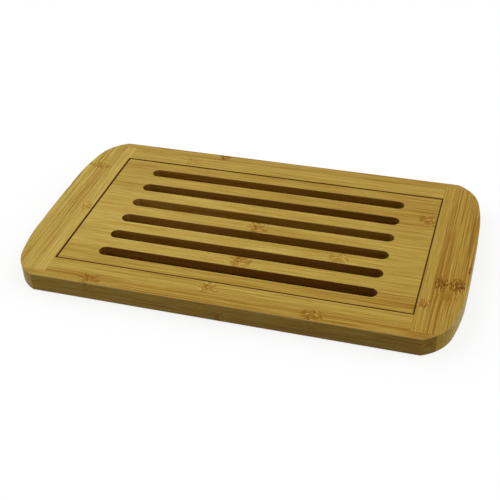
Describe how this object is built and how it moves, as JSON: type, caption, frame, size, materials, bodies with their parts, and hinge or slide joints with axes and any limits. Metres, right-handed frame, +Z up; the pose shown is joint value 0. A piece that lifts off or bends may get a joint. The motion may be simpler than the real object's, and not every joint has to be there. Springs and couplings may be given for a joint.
{
  "type": "bread board with crumb tray",
  "caption": "Rectangular bamboo bread board with bowed ends and a lift-out slatted insert that lets crumbs fall into a shallow tray beneath it.",
  "frame": {"origin": "bottom centre of the board, on the surface it rests on", "axes": "+X along the board's length to the right, +Y from the front rail to the back rail, +Z up"},
  "size_m": [0.4, 0.23, 0.018],
  "materials": {
    "rail_bamboo": "oiled bamboo, grain along the board",
    "end_bamboo": "oiled bamboo, grain across the board",
    "insert_bamboo": "oiled bamboo, grain along the slots",
    "floor_bamboo": "thin bamboo panel"
  },
  "bodies": {
    "frame": {"front_rail_top_outer": "rail_bamboo", "front_rail_top_inner": "rail_bamboo", "front_rail_bottom_outer": "rail_bamboo", "front_rail_bottom_inner": "rail_bamboo", "back_rail_top_outer": "rail_bamboo", "back_rail_top_inner": "rail_bamboo", "back_rail_bottom_outer": "rail_bamboo", "back_rail_bottom_inner": "rail_bamboo", "left_end_top_outer": "end_bamboo", "left_end_top_inner": "end_bamboo", "left_end_bottom_outer": "end_bamboo", "left_end_bottom_inner": "end_bamboo", "right_end_top_outer": "end_bamboo", "right_end_top_inner": "end_bamboo", "right_end_bottom_outer": "end_bamboo", "right_end_bottom_inner": "end_bamboo", "crumb_tray_floor": "floor_bamboo"},
    "insert": {"insert_stave_1": "insert_bamboo", "insert_stave_2": "insert_bamboo", "insert_stave_3": "insert_bamboo", "insert_stave_4": "insert_bamboo", "insert_stave_5": "insert_bamboo", "insert_stave_6": "insert_bamboo", "insert_stave_7": "insert_bamboo"}
  },
  "joints": [
    {"name": "insert_lift", "type": "slide", "parent": "frame", "child": "insert", "axis": [0, 0, 1], "range_m": [0, 0.06]}
  ]
}
